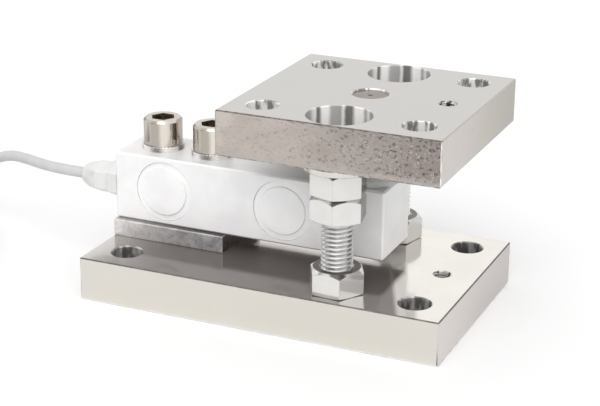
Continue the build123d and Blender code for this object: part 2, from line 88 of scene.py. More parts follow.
# %% Camera
turn, tilt, roll = radians(23.608), radians(20.183), radians(0.486)
ahead = Vector((-sin(turn) * cos(tilt), cos(turn) * cos(tilt), -sin(tilt)))
level = Vector((cos(turn), sin(turn), 0))
over = level.cross(ahead)
right = level * cos(roll) + over * sin(roll)
up = over * cos(roll) - level * sin(roll)
lens = bpy.data.cameras.new("lens")
lens.lens, lens.sensor_width = 98.494, 36
lens.clip_start, lens.clip_end = 0.02, 20
camera = bpy.data.objects.new("camera", lens)
camera.matrix_world = Matrix.Translation((0.27810, -0.63467, 0.29728)) @ Matrix(
    (right, up, -ahead)).transposed().to_4x4()
in_scene.link(camera)
bpy.context.scene.camera = camera
bpy.context.scene.view_settings.view_transform = "Standard"
print("camera looks along", [round(value, 3) for value in ahead])

# %% [markdown]
# Each finish is a small graph of nodes, and so is the sky. One helper adds a node and
# fills its sockets, with a plain value or with what another node gives, so that a graph
# reads as a recipe. An output knows its graph, so helpers that work on outputs need no
# more. Colours are linear values, so 0.6 looks like a light grey.

# %% A helper that adds one node
def put(owner, kind, inputs=(), out=0, **settings):
    """Add a node to a finish, the sky or an output's graph, and return its output."""
    tree = owner.id_data if isinstance(owner, bpy.types.NodeSocket) else owner.node_tree
    new = tree.nodes.new("ShaderNode" + kind)
    for name, value in settings.items():
        setattr(new, name, value)
    for name, value in dict(inputs).items():
        if isinstance(value, bpy.types.NodeSocket):
            tree.links.new(value, new.inputs[name])
        else:
            new.inputs[name].default_value = value
    return new.outputs[out]


def tell(owner):
    """Say how many nodes a finish or the sky is made of."""
    print(owner.name, "takes", len(owner.node_tree.nodes), "nodes")

# %% Helpers for a plain finish and for its sockets
def plain_finish(name, colour, roughness, metallic=1.0):
    """A finish with one colour and one roughness, before its grain and wear."""
    look = bpy.data.materials.new(name)
    look.use_nodes = True
    shader = look.node_tree.nodes["Principled BSDF"]
    shader.inputs["Base Color"].default_value = (*colour, 1)
    shader.inputs["Roughness"].default_value = roughness
    shader.inputs["Metallic"].default_value = metallic
    return look


def wire_up(look, **sockets):
    """Lead outputs into the shader's sockets by name, and return the finish."""
    shader = look.node_tree.nodes["Principled BSDF"]
    for name, output in sockets.items():
        look.node_tree.links.new(output, shader.inputs[name.replace("_", " ").title()])
    return look

# %% [markdown]
# A worn or plated face is many small areas laid over each other. Each area is a mask, a
# value of 0 to 1, and masks are joined as one joins conditions: both, either, or not.
# A tone is then tinted where its mask says, layer by layer, as a painter glazes.

# %% Helpers for arithmetic and masks
def sums(operation, first, second=0.0, third=0.0):
    """One step of arithmetic on values."""
    known = second if isinstance(first, float) else first
    return put(known, "Math", {0: first, 1: second, 2: third}, operation=operation)


def both(first, second):
    """The product of two masks, or of a mask and a plain strength."""
    return sums("MULTIPLY", first, second)


def either(first, second):
    """The greater of two masks."""
    return sums("MAXIMUM", first, second)


def lacking(value):
    """1 where a mask is 0, and 0 where it is 1."""
    return sums("SUBTRACT", 1.0, value)


def scaled(value, factor, plus):
    """A value times a factor, plus something more."""
    return sums("MULTIPLY_ADD", value, factor, plus)


def apart(first, second):
    """How far two values are apart."""
    return sums("ABSOLUTE", sums("SUBTRACT", first, second))


def mask(value, low, high):
    """0 where the value is at low, 1 where it is at high, and soft between them."""
    return put(value, "MapRange", {"Value": value, "From Min": low, "From Max": high},
               interpolation_type="SMOOTHSTEP")


def along(vector, way):
    """How far a place or a direction reaches along a way."""
    return put(vector, "VectorMath", {0: vector, 1: way}, out=1, operation="DOT_PRODUCT")

# %% Helpers for colours
def mixed(share, one, other):
    """The first colour where the share is 0 and the second where it is 1."""
    one, other = (colour if isinstance(colour, bpy.types.NodeSocket) else (*colour, 1)
                  for colour in (one, other))
    known = one if isinstance(share, float) else share
    return put(known, "Mix", {0: share, 6: one, 7: other}, out=2, data_type="RGBA")


def tinted(tone, colour, area, strength=1.0):
    """A tone, turned towards a colour in one area, as far as the strength says."""
    return mixed(both(area, strength), tone, colour)


def mottled(cloud, colour, shade, low=0.3, high=0.7):
    """A colour that grows a shade darker where a cloud is dense."""
    return mixed(mask(cloud, low, high), colour, tuple(part * shade for part in colour))


def grey_ramp(share, stops, tint):
    """Greys along a share of 0 to 1, from places and brightnesses, with a slight tint."""
    ramp = put(share, "ValToRGB", {0: share}).node
    for at_share, _ in stops[1:-1]:
        ramp.color_ramp.elements.new(at_share)
    for element, (at_share, bright) in zip(ramp.color_ramp.elements, stops):
        element.position = at_share
        element.color = (*(bright * part for part in tint), 1)
    return ramp.outputs[0]

# %% [markdown]
# Sawn, ground and plated steel differ in their grain: fine lines along the cutting way,
# soft clouds of plating, or pits. All three are noise, stretched or not, read at the place
# on the object itself, so that nothing slides when the view changes.

# %% Helpers for grain
def place(look):
    """Where a point of the surface is on the object, in metres."""
    return put(look, "TexCoord", out=3)


def clouds(look, size, detail=4.0, stretch=(1, 1, 1), rough=0.55):
    """Noise whose blots are about one size in metres, drawn out along an axis or not."""
    spread = put(look, "Mapping", {"Vector": place(look), "Scale": stretch})
    return put(look, "TexNoise", {"Vector": spread, "Scale": 1 / size, "Detail": detail, "Roughness": rough})


def relief(height, depth, strength=1.0, normal=None):
    """A normal that shows a height of 0 to 1 as a relief of a depth in metres."""
    inputs = {"Height": height, "Distance": depth, "Strength": strength}
    if normal is not None:
        inputs["Normal"] = normal
    return put(height, "Bump", inputs)


def soft_edges(look, radius=0.0003):
    """A normal that rounds the solid's sharp edges, as deburring does."""
    return put(look, "Bevel", {"Radius": radius}, samples=6)

# %% [markdown]
# One plate has faces that were sawn, milled, ground and drilled, and it is one solid with
# one finish. The finish therefore asks at each point where it lies and which way the face
# looks, and chooses from that. No face is picked by hand.

# %% Helpers that tell one face of a plate from another
X, Y, Z = 0, 1, 2
chamfer_reach = 0.0014


def part_of(vector, axis):
    """One of the three parts of a place or of a direction."""
    return put(vector, "SeparateXYZ", {0: vector}, out=axis)


def at(look, axis):
    """Where a point of the surface is along one axis."""
    return part_of(place(look), axis)


def face_way(look):
    """The direction in which the bare face looks."""
    return put(look, "NewGeometry", out=3)


def facing(look, axis):
    """1 on faces that are square to an axis, 0 on all others."""
    return mask(sums("ABSOLUTE", part_of(face_way(look), axis)), 0.8, 0.95)


def shaded_underside(look):
    """1 on faces that look down, which are painted dark as shade."""
    return mask(part_of(face_way(look), Z), -0.6, -0.9)


def sloping_up(look):
    """1 on chamfers between a top face and a side."""
    upward = part_of(face_way(look), Z)
    return both(mask(upward, 0.3, 0.5), mask(upward, 0.95, 0.85))


def outer_side(look, axis, middle, reach):
    """1 on a plate's two outer sides that lie at a reach from its middle along an axis."""
    away = apart(at(look, axis), middle)
    return both(facing(look, axis), mask(away, reach - 0.0003, reach - 0.0001))


def near_edge(look, first, at_first, second, at_second, reach=0.0005):
    """1 within a reach of the edge where two faces meet, each given by its axis and place."""
    return both(*(mask(apart(at(look, axis), spot), reach, reach * 0.6)
                  for axis, spot in ((first, at_first), (second, at_second))))


def edge_wear_and_shade(look, radius=0.0004):
    """A mask along the sharp edges, where handling rubs a face bright, and where painted shade draws dark
    edge lines on the nuts and jack washers.
    """
    alike = along(soft_edges(look, radius), face_way(look))
    return mask(lacking(alike), 0.02, 0.18)

# %% [markdown]
# Each plate has one small hole with a thread in it. A real thread would take thousands of
# faces that nobody sees, so here it is a ridge that climbs the wall as a relief: the angle
# round the hole is taken off the height, counted in pitches. Its flanks carry a painted
# reflection of the room in short upright bars, bright and nearly black.

# %% Helper for the thread inside a tapped hole
def tapped_hole(look, x, tone, pitch=0.00125, reach=0.0045):
    """Tone with the painted reflection bars of a tapped hole on the middle line, its ridge and its area."""
    spot = place(look)
    dx, dy = sums("SUBTRACT", part_of(spot, X), x), part_of(spot, Y)
    round_it = sums("DIVIDE", sums("ARCTAN2", dy, dx), 2 * pi)
    climb = sums("DIVIDE", part_of(spot, Z), pitch)
    ridge = sums("PINGPONG", sums("SUBTRACT", climb, round_it), 0.5)
    away = sums("SQRT", sums("ADD", both(dx, dx), both(dy, dy)))
    area = both(mask(away, reach, reach - 0.0003), lacking(facing(look, Z)))
    bars = mask(clouds(look, 0.0022, stretch=(1.0, 1.0, 0.1), detail=2), 0.46, 0.54)
    # Painted reflection: bars from nearly black to bright on the thread's flanks.
    painted_flank_reflection = mixed(bars, (0.03, 0.028, 0.026), (0.75, 0.73, 0.70))
    return tinted(tone, painted_flank_reflection, area), mask(ridge, 0.08, 0.34), area

# %% [markdown]
# What stands on the base plate is mirrored in its top. Under the bar that image is the
# bar's own dark underside, nearly black on the real one. An even white room would wash it
# out, so that reflection is painted on: the nickel is darker where the front view sees
# that image. The area ends where the spacer, the bar's end and the front nut's own bright
# image end, and those ends run straight to the camera, not along the plate.

# %% Base plate: where it mirrors the bar
view_right = (cos(turn), sin(turn), 0.0)
view_near = (sin(turn), -cos(turn), 0.0)
nut_aside = load_x * cos(turn) - stud_y * sin(turn) + 0.0003
nut_near = load_x * sin(turn) + stud_y * cos(turn)
bar_end, far_left, bar_front = (0.0425, 0.0395), (-0.104, -0.052), (0.009, -0.011)
spacer_end, spacer_front, nut_width = (-0.0165, -0.0185), (0.020, 0.015), (0.0113, 0.0105)


def mirrored_bar(look):
    """1 where the top mirrors the bar's dark underside, 0 round it and before the nut."""
    sideways, back = along(place(look), view_right), at(look, Y)
    ends = both(mask(sideways, *bar_end), mask(at(look, X), *far_left))
    by_spacer = both(mask(sideways, *spacer_end), mask(back, *spacer_front))
    area = both(ends, either(mask(back, *bar_front), by_spacer))
    nearer = mask(along(place(look), view_near), nut_near, nut_near + 0.0016)
    nut_image = both(mask(apart(sideways, nut_aside), *nut_width), nearer)
    area = both(area, lacking(both(nut_image, 0.9)))
    return both(area, facing(look, Z))

# %% [markdown]
# The base plate is bright nickel over ground steel. Its top mirrors what stands over it,
# softened by faint grinding lines along X, with a few specks. Its sides are duller. A dark
# reflection is painted on its upper edges, and a line of light from the floor is painted
# along its foot.

# %% Base plate: its edges
def nickel_edges(look, tone):
    """Painted dark reflections on the chamfers at the top front and top right, and a painted light line along
    the foot.
    """
    rim = either(near_edge(look, Y, plates_front, Z, base_top, chamfer_reach),
                 near_edge(look, X, base_right, Z, base_top, chamfer_reach))
    # Painted dark reflection on the upper chamfers, then a painted light line along the foot.
    tone = tinted(tone, (0.11, 0.095, 0.085), both(rim, sloping_up(look)), 0.9)
    return tinted(tone, (1.0, 1.0, 1.0), near_edge(look, Y, plates_front, Z, 0.0, 0.0008))

# %% Base plate: bright nickel
def nickel_plate():
    """Bright nickel on ground steel: glossy on top, satin on the sides."""
    colour = (0.91, 0.885, 0.85)
    look = plain_finish("bright nickel", colour, 0.12)
    lines = clouds(look, 0.0011, stretch=(0.04, 1.6, 1.0), detail=5)
    cloud = clouds(look, 0.022, detail=3)
    specks = mask(clouds(look, 0.0011, detail=2), 0.70, 0.76)
    side = lacking(facing(look, Z))
    front, end = outer_side(look, Y, 0.0, plates_back), outer_side(look, X, 0.0, base_right)
    bore = sums("SUBTRACT", side, either(front, end))
    painted_bar_reflection = mirrored_bar(look)
    tone = mottled(cloud, colour, 0.95)
    tone = tinted(tone, (0.40, 0.38, 0.36), specks, 0.3)
    tone = tinted(tone, (0.50, 0.47, 0.44), side)
    tone = tinted(tone, mixed(cloud, (0.76, 0.735, 0.68), (0.73, 0.70, 0.64)), front)
    rearward = mask(at(look, Y), plates_front, plates_back)
    tone = tinted(tone, mixed(rearward, (0.70, 0.665, 0.64), (0.57, 0.525, 0.51)), end)
    # Painted reflection: the bar's dark underside, painted on the top as a dark tone.
    tone = tinted(tone, (0.19, 0.162, 0.154), painted_bar_reflection, 0.92)
    # Painted reflections: streaks from nearly black to light grey on the bore walls.
    reflection_streaks = mask(clouds(look, 0.0032, stretch=(1.0, 1.0, 0.35), detail=5), 0.42, 0.60)
    tone = tinted(tone, mixed(reflection_streaks, (0.16, 0.155, 0.15), (0.62, 0.61, 0.60)), bore)
    tone, ridge, tapped = tapped_hole(look, base_tap_x, tone)
    tone = nickel_edges(look, tone)
    gloss = scaled(side, 0.24, scaled(lines, 0.06, 0.08))
    bumps = relief(lines, 0.000004, normal=soft_edges(look, 0.00008))
    bumps = relief(specks, 0.00003, 0.4, bumps)
    bumps = relief(ridge, 0.0005, tapped, bumps)
    body = scaled(either(bore, painted_bar_reflection), -0.55, 1.0)
    return wire_up(look, base_color=tone, roughness=gloss, normal=bumps, metallic=body)


nickel = nickel_plate()
tell(nickel)

# %% [markdown]
# The spacer is a piece of hot rolled plate with the same thin nickel over its scale, so it
# came out mottled: grey clouds, small bright specks and edges that were rubbed bare. Its
# narrow ledge under the bar and its right end lie in the bar's shadow, and that shadow is
# painted on them as a dark tone.

# %% Spacer plate: mottled nickel over scale
def scaled_plate():
    """Thin plating over rolled scale, with dark clouds and bright specks."""
    look = plain_finish("nickel over scale", (0.42, 0.41, 0.41), 0.32, metallic=0.5)
    cloud = mask(clouds(look, 0.006, detail=8, rough=0.7), 0.35, 0.65)
    fine = mask(clouds(look, 0.0012, detail=5, rough=0.7), 0.42, 0.62)
    specks = mask(clouds(look, 0.0009, detail=2), 0.66, 0.72)
    rightward = mask(at(look, X), -0.088, -0.035)
    light = mixed(rightward, (0.86, 0.84, 0.82), (0.60, 0.59, 0.61))
    dark = mixed(rightward, (0.58, 0.55, 0.53), (0.27, 0.255, 0.265))
    tone = mixed(cloud, light, dark)
    tone = tinted(tone, mixed(0.5, light, dark), fine, 0.4)
    tone = tinted(tone, (0.80, 0.78, 0.78), specks, 0.7)
    tone = tinted(tone, (0.85, 0.84, 0.83), edge_wear_and_shade(look), 0.6)
    shadowed_ledge = both(facing(look, Z), scaled(rightward, 0.55, 0.35))
    end = both(facing(look, X), mask(at(look, X), -0.050, -0.040))
    # Painted shadow of the bar on the spacer's ledge and right end.
    tone = tinted(tone, (0.10, 0.08, 0.075), either(shadowed_ledge, end))
    gloss = scaled(cloud, 0.18, 0.24)
    bumps = relief(fine, 0.00003, normal=soft_edges(look))
    return wire_up(look, base_color=tone, roughness=gloss, normal=bumps)


scale = scaled_plate()
tell(scale)

# %% [markdown]
# The bores are turned so fine that their walls mirror the room in upright bands, and so do
# the round heads of the screws. A ramp of greys, laid round the wall, gives these bands,
# and noise shifts them a little, as turning marks do.

# %% Helpers for round walls
def within(look, x, y, reach):
    """1 inside a circle round an upright axis, 0 outside it."""
    spot = place(look)
    middle = put(look, "CombineXYZ", {"Z": part_of(spot, Z), "X": x, "Y": y})
    away = put(look, "VectorMath", {0: spot, 1: middle}, out=1, operation="DISTANCE")
    return mask(away, reach, reach * 0.97)


def mirror_bands(look, x, y, bands, wall=1):
    """Brightness round an upright wall, from stops round its inner (1) or outer (-1) side."""
    offset = put(look, "VectorMath", {0: place(look), 1: (x, y, 0)}, operation="SUBTRACT")
    away = along(offset, (-sin(turn) * wall, cos(turn) * wall, 0))
    aside = along(offset, view_right)
    share = scaled(sums("ARCTAN2", aside, away), 1 / pi, 0.48)
    wobble = clouds(look, 0.006, detail=5, rough=0.65, stretch=(1.0, 1.0, 0.7))
    share = sums("PINGPONG", scaled(wobble, 0.04, share), 1.0)
    return grey_ramp(share, bands, (1, 0.985, 0.97))

# %% [markdown]
# The top plate was cut from thick bar. Its top is ground and satin, its front side is the
# saw cut: brownish and fairly smooth at the left, torn and pitted towards the right, and
# smeared lighter along the lower edge, where the blade came out. The right side was milled.

# %% Top plate: the sawn front
def saw_cut(look):
    """Colour and depth of the sawn front, torn more and more towards the right."""
    rightward = mask(at(look, X), load_x - 0.045, load_x + 0.055)
    broad = clouds(look, 0.016, detail=4, stretch=(0.6, 1.0, 1.2))
    pits = clouds(look, 0.0014, detail=4, rough=0.65, stretch=(0.8, 1.0, 1.1))
    bits = clouds(look, 0.0008, detail=3, rough=0.7, stretch=(1.1, 1.0, 0.8))
    tone = mixed(mask(broad, 0.35, 0.65), (0.58, 0.53, 0.49), (0.70, 0.645, 0.605))
    tone = tinted(tone, (0.34, 0.30, 0.28), rightward, 0.85)
    torn = scaled(rightward, 0.66, 0.16)
    tone = tinted(tone, (0.085, 0.07, 0.065), mask(pits, 0.47, 0.36), torn)
    tone = tinted(tone, (0.74, 0.69, 0.66), mask(bits, 0.57, 0.66), torn)
    smear = clouds(look, 0.005, detail=7, rough=0.7, stretch=(0.45, 1.0, 1.8))
    height = scaled(smear, -0.014, at(look, Z))
    lighter = mask(height, plate_low - 0.0030, plate_low - 0.0060)
    return tinted(tone, (0.60, 0.55, 0.52), lighter, 0.75), pits, torn

# %% Top plate: the milled right side and the edges
def milled_end(look):
    """Broad cutter marks on the right side, darker towards the back."""
    broad = clouds(look, 0.0055, detail=5, rough=0.6)
    tone = mixed(broad, (0.64, 0.60, 0.57), (0.70, 0.66, 0.63))
    return tinted(tone, (0.42, 0.405, 0.365), mask(at(look, Y), -0.05, 0.055), 0.7)


def plate_edges(look, tone):
    """Tone with a soft right edge, a painted highlight on the front right corner and a painted dark
    reflection along the sawn front's top and left edges, and their area.
    """
    slope = sloping_up(look)
    right_top = both(slope, near_edge(look, X, plate_right, Z, plate_high, chamfer_reach))
    tone = tinted(tone, (0.50, 0.485, 0.46), right_top)
    # Painted highlight along the front right corner.
    painted_corner_highlight = near_edge(look, X, plate_right, Y, plates_front)
    tone = tinted(tone, (0.90, 0.88, 0.85), painted_corner_highlight, 0.3)
    # Painted dark reflection along the sawn front's top chamfer and its left edge.
    painted_dark_edge = both(slope, near_edge(look, Y, plates_front, Z, plate_high, chamfer_reach))
    painted_dark_edge = either(painted_dark_edge, near_edge(look, Y, plates_front, X, plate_left, 0.0007))
    painted_dark_edge = both(painted_dark_edge, lacking(painted_corner_highlight))
    return tinted(tone, (0.14, 0.12, 0.11), painted_dark_edge, 0.85), either(right_top, painted_dark_edge)

# %% Top plate: ground top and turned bores
bore_reach = 0.0146
bore_bands = ((0.0, 0.35), (0.17, 0.45), (0.21, 0.85), (0.25, 1.0), (0.275, 0.22), (0.295, 0.22),
              (0.33, 1.1), (0.395, 1.1), (0.43, 0.50), (0.52, 0.46), (0.545, 0.95), (0.575, 0.20),
              (0.635, 0.24), (0.675, 1.1), (0.75, 1.1), (0.79, 0.40), (0.84, 1.0), (0.90, 0.35), (1.0, 0.5))


def cut_plate():
    """One finish that changes from face to face, as the tools that cut them did."""
    look = plain_finish("ground and sawn steel", (0.62, 0.61, 0.60), 0.35)
    top = facing(look, Z)
    walls = lacking(top)
    front, end = outer_side(look, Y, 0.0, plates_back), outer_side(look, X, load_x, plate_right - load_x)
    lines = clouds(look, 0.0009, stretch=(0.05, 1.5, 1.0), detail=5)
    satin = mixed(lines, (0.60, 0.59, 0.575), (0.66, 0.65, 0.635))
    streaks = mask(clouds(look, 0.0026, stretch=(1.0, 1.0, 0.25), detail=4), 0.42, 0.58)
    # Painted reflections: streaks from nearly black to white on the walls of the holes and on the chamfers.
    reflection_streaks = mixed(streaks, (0.24, 0.23, 0.22), (0.96, 0.95, 0.94))
    tone = mixed(top, reflection_streaks, satin)
    for y in studs.values():
        turned = both(walls, within(look, load_x, y, bore_reach))
        tone = tinted(tone, mirror_bands(look, load_x, y, bore_bands), turned)
    # Painted shade on the faces that look down.
    tone = tinted(tone, (0.15, 0.135, 0.125), shaded_underside(look))
    sawn, pits, torn = saw_cut(look)
    tone = tinted(tone, sawn, front)
    tone = tinted(tone, milled_end(look), end)
    tone, ridge, tapped = tapped_hole(look, plate_tap_x, tone)
    tone, edges = plate_edges(look, tone)
    gloss = scaled(end, 0.42, scaled(front, 0.50, scaled(top, 0.24, 0.12)))
    rings = clouds(look, 0.0004, stretch=(0.03, 0.03, 1.0), detail=3)
    bumps = relief(rings, 0.00006, walls, soft_edges(look, 0.0001))
    bumps = relief(lines, 0.000006, normal=bumps)
    bumps = relief(ridge, 0.0005, tapped, bumps)
    bumps = relief(pits, 0.0007, both(front, torn), bumps)
    inside = both(both(walls, lacking(either(front, end))), lacking(edges))
    body = scaled(inside, -0.90, 1.0)
    return wire_up(look, base_color=tone, roughness=gloss, normal=bumps, metallic=body)


plate_steel = cut_plate()
tell(plate_steel)

# %% [markdown]
# The bar that senses the load is stainless steel, blasted with fine glass beads and almost
# white. The sheet covers over its pockets are a shade brighter and have a fine pressed
# grain. Beads leave tiny dents all over, so the relief is round and has no direction, and
# a blasted face scatters light much as paper does, so it counts only a tenth as metal.

# %% Beam and covers: bead blasted and pressed stainless steel
def blasted_steel(name, colour, roughness, dent=0.00045):
    """Bright stainless steel with bead dents and a faint cloudiness."""
    look = plain_finish(name, colour, roughness, metallic=0.10)
    dents = clouds(look, dent, detail=3)
    cloud = clouds(look, 0.014, detail=4)
    tone = mottled(cloud, colour, 0.93)
    tone = tinted(tone, (0.98, 0.98, 0.98), edge_wear_and_shade(look, 0.0005), 0.1)
    # Painted shade on the faces that look down.
    tone = tinted(tone, (0.26, 0.22, 0.20), shaded_underside(look))
    gloss = scaled(cloud, 0.10, roughness - 0.05)
    bumps = relief(dents, 0.00001, normal=soft_edges(look, 0.0002))
    return wire_up(look, base_color=tone, roughness=gloss, normal=bumps)


beam_steel = blasted_steel("bead blasted beam", (0.95, 0.945, 0.945), 0.36)
cover_steel = blasted_steel("pressed cover", (0.98, 0.975, 0.975), 0.30, dent=0.0003)
tell(beam_steel)

# %% [markdown]
# Nuts, studs and washers are zinc plated, so they are bright, a little blue-white and
# slightly uneven, with soft corners. A nut is so glossy that a few of its faces mirror
# only the dark parts of a room: the ring on top, the flat at its right and the chamfer
# over its front corner, and that reflection is painted on as a dark tone. Painted shade
# draws dark lines along the edges of the nuts and the jack washers, and the thread's root
# is painted darker than its crest, as shade. The cable's gland is satin nickel, made by
# the same recipe.

# %% Nuts, studs and washers: bright zinc
dark_flat_way = (0.972, 0.235, 0.0)
notch_way = (0.244, -0.559, 0.792)


def dark_faces(look):
    """1 on a nut's upper ring, on its right flat and on the chamfer of its front corner."""
    way = face_way(look)
    ring = mask(part_of(way, Z), 0.85, 0.95)
    flat = mask(along(way, dark_flat_way), 0.96, 0.98)
    notch = mask(along(way, notch_way), 0.974, 0.990)
    return either(either(ring, flat), notch)


def zinc(name, colour, roughness, blot=0.007, corner=(0.97, 0.97, 0.96), edge_strength=0.6,
         dark_reflection_strength=0.0, metallic=0.8, root=0.0):
    """Bright zinc plate with soft clouds, bright rubbed edges on some parts and painted dark edge lines on
    others, painted dark reflections on a nut's faces and painted shade in a thread's roots.
    """
    look = plain_finish(name, colour, roughness, metallic)
    cloud = clouds(look, blot, detail=3)
    fine = clouds(look, 0.0004, detail=3)
    tone = mottled(cloud, colour, 0.95)
    tone = tinted(tone, corner, edge_wear_and_shade(look), edge_strength)
    if dark_reflection_strength:
        # Painted dark reflections on a nut's upper ring, right flat and front corner chamfer.
        tone = tinted(tone, (0.055, 0.05, 0.045), dark_faces(look), dark_reflection_strength)
    for y in studs.values() if root else ():
        # Painted shade in the thread's roots, inside the given radius of each stud.
        tone = tinted(tone, (0.26, 0.26, 0.255), within(look, load_x, y, root), 0.5)
    gloss = scaled(cloud, 0.08, roughness - 0.04)
    bumps = relief(fine, 0.000002, normal=soft_edges(look))
    return wire_up(look, base_color=tone, roughness=gloss, normal=bumps)


# The nut's dark edge colour is painted shade along its edges.
nut_zinc = zinc("bright zinc nut", (0.76, 0.75, 0.73), 0.13, corner=(0.16, 0.15, 0.145), edge_strength=0.8,
                dark_reflection_strength=0.85, metallic=0.6)
# root: the radius within which the thread's roots get painted shade.
stud_zinc = zinc("zinc on rolled thread", (0.84, 0.84, 0.83), 0.16, blot=0.004, metallic=0.85,
                 root=0.00655)
# The jack washer's dark edge colour is painted shade along its edges.
washer_zinc = zinc("zinc washer", (0.72, 0.70, 0.66), 0.22, corner=(0.22, 0.17, 0.13), edge_strength=0.9,
                   metallic=1.0)
gland_plate = zinc("satin nickel gland", (0.80, 0.80, 0.785), 0.34, edge_strength=0.2, metallic=0.3)
tell(nut_zinc)

# %% [markdown]
# The clamp screws are turned and polished stainless steel: fine rings round the head,
# drawn out along X and Y alike, a warmer tone and a room mirrored in bands. The lock
# washers under them and the hard cups of the rocker pin are turned in the same way. The
# upper cup keeps the small rusty mark of the lathe's centre.

# %% Clamp screws, lock washers and cups: turned and polished steel
head_reach, socket_reach, centre_mark = 0.0125, 0.0064, 0.0010


def turned_steel(name, colour, roughness, bands=()):
    """Polished steel with fine turning rings and, on the screws, a room mirrored in bands."""
    look = plain_finish(name, colour, roughness)
    rings = clouds(look, 0.0005, stretch=(0.02, 0.02, 1.0), detail=4)
    cloud = clouds(look, 0.004, detail=4)
    tone = mottled(cloud, colour, 0.84, 0.35, 0.65)
    for x in screw_places if bands else ():
        head = sums("SUBTRACT", within(look, x, 0.0, head_reach), within(look, x, 0.0, socket_reach))
        banded = put(look, "VectorMath", {0: mirror_bands(look, x, 0.0, bands, wall=-1),
                                          1: colour}, operation="MULTIPLY")
        tone = tinted(tone, banded, both(lacking(facing(look, Z)), head))
    tone = tinted(tone, (0.93, 0.91, 0.88), edge_wear_and_shade(look), 0.6)
    tone = tinted(tone, (0.09, 0.03, 0.02), within(look, load_x, 0.0, centre_mark))
    gloss = scaled(rings, 0.12, roughness - 0.06)
    bumps = relief(rings, 0.000005, normal=soft_edges(look, 0.0004))
    return wire_up(look, base_color=tone, roughness=gloss, normal=bumps)


# The screws' bands are painted reflections of the room. The lock washers' bands are painted reflections too,
# and their dark bands are painted shade under the screw heads.
screw_bands = ((0.0, 0.2), (0.10, 0.3), (0.15, 0.80), (0.27, 0.85), (0.33, 0.66), (0.44, 0.68),
               (0.50, 1.15), (0.58, 1.15), (0.63, 1.0), (0.71, 0.95), (0.74, 1.0), (0.77, 0.95),
               (0.80, 0.72), (0.88, 0.60), (1.0, 0.6))
washer_bands = ((0.0, 1.0), (0.10, 0.35), (0.16, 1.2), (0.28, 1.25), (0.39, 0.40), (0.45, 0.40),
                (0.56, 1.25), (0.74, 1.25), (0.80, 0.20), (0.88, 0.25), (1.0, 0.9))
screw_steel = turned_steel("polished screw", (0.66, 0.61, 0.55), 0.12, screw_bands)
lock_steel = turned_steel("lock washer steel", (0.80, 0.785, 0.76), 0.16, washer_bands)
hard_steel = turned_steel("ground hard steel", (0.30, 0.265, 0.24), 0.26)
tell(screw_steel)

# %% [markdown]
# Rubber and plastics aren't metals: they scatter light under a dull skin. The cable's
# jacket is light grey, with a faint mottle and a very fine matt grain. The boot is moulded
# from pale rubber with a coarser grain.

# %% Cable jacket, boot, seal, board and gauges
def moulded(name, colour, roughness, grain=0.0003, shade=0.88, dent=0.00001):
    """A moulded skin: a faint mottle, a fine matt grain and an even sheen."""
    look = plain_finish(name, colour, roughness, metallic=0.0)
    cloud = clouds(look, 0.006, detail=4)
    fine = clouds(look, grain, detail=3)
    gloss = scaled(fine, 0.12, roughness - 0.06)
    bumps = relief(fine, dent, normal=soft_edges(look))
    return wire_up(look, base_color=mottled(cloud, colour, shade), roughness=gloss, normal=bumps)


jacket = moulded("grey cable jacket", (0.63, 0.63, 0.635), 0.42, shade=0.94)
boot_rubber = moulded("pale boot rubber", (0.60, 0.605, 0.61), 0.62, grain=0.0005)
seal_rubber = moulded("black seal rubber", (0.02, 0.02, 0.021), 0.55)
board_mask = moulded("green board", (0.03, 0.16, 0.07), 0.35)
gauge_film = moulded("amber gauge film", (0.55, 0.30, 0.07), 0.30)
wire_sleeve = moulded("red wire sleeve", (0.50, 0.03, 0.02), 0.32)
print("finishes made:", len(bpy.data.materials))

# %% [markdown]
# Each solid that keeps its own shape now gets its finish. The list reads as the parts list
# of the module, from the plates to the small parts sealed inside the bar.

# %% Dress the solids
finishes = {
    nickel: ["base_plate"],
    scale: ["spacer_plate"],
    plate_steel: ["top_plate"],
    beam_steel: ["load_cell_beam"],
    cover_steel: ["circuit_pocket_cover", "gauge_cover_front", "gauge_cover_back"],
    screw_steel: ["clamp_screw_outer", "clamp_screw_inner"],
    washer_zinc: ["jack_washer_front", "jack_washer_back"],
    hard_steel: ["lower_cup", "rocker_pin", "upper_cup"],
    gland_plate: ["gland_body", "gland_nut"],
    seal_rubber: ["gland_seal"],
    jacket: ["cable_entry"],
    board_mask: ["compensation_board"],
    gauge_film: ["strain_gauges"],
    wire_sleeve: ["lead_wires", "bridge_wires", "web_wires"],
}
for finish, names in finishes.items():
    for name in names:
        solid = frame["nodes"][name]
        solid.data.materials.clear()
        solid.data.materials.append(finish)
print("solids dressed:", sum(len(names) for names in finishes.values()))

# %% [markdown]
# A few pieces are built here instead, because their real form is finer than the drawing's.
# Each is a mesh made from corners and faces. Most of them close round an upright axis:
# columns of corners, all alike, with the last column next to the first.

# %% Helpers that shape a mesh
def shaped(name, corners, faces, finish, crease=35):
    """A new piece from its corners and faces, smooth except at corners over an angle."""
    mesh = bpy.data.meshes.new(name)
    mesh.from_pydata(corners, [], faces)
    mesh.materials.append(finish)
    mesh.shade_smooth()
    mesh.set_sharp_from_angle(angle=radians(crease))
    piece = bpy.data.objects.new(name, mesh)
    in_scene.link(piece)
    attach(piece, "root")
    return piece


def ring_faces(columns, count):
    """Faces between columns of so many corners each, closed round an axis."""
    faces = []
    for column in range(columns):
        here, there = column * count, (column + 1) % columns * count
        for i in range(count):
            after = (i + 1) % count
            faces.append((there + i, there + after, here + after, here + i))
    return faces

# %% [markdown]
# A drawing shows a threaded stud as a plain rod. The real thread is one long ridge wound
# round the rod, so its mesh is wound in the same way: the rows of points climb by one
# pitch in each turn, and the last column of points joins the first, one pitch higher.

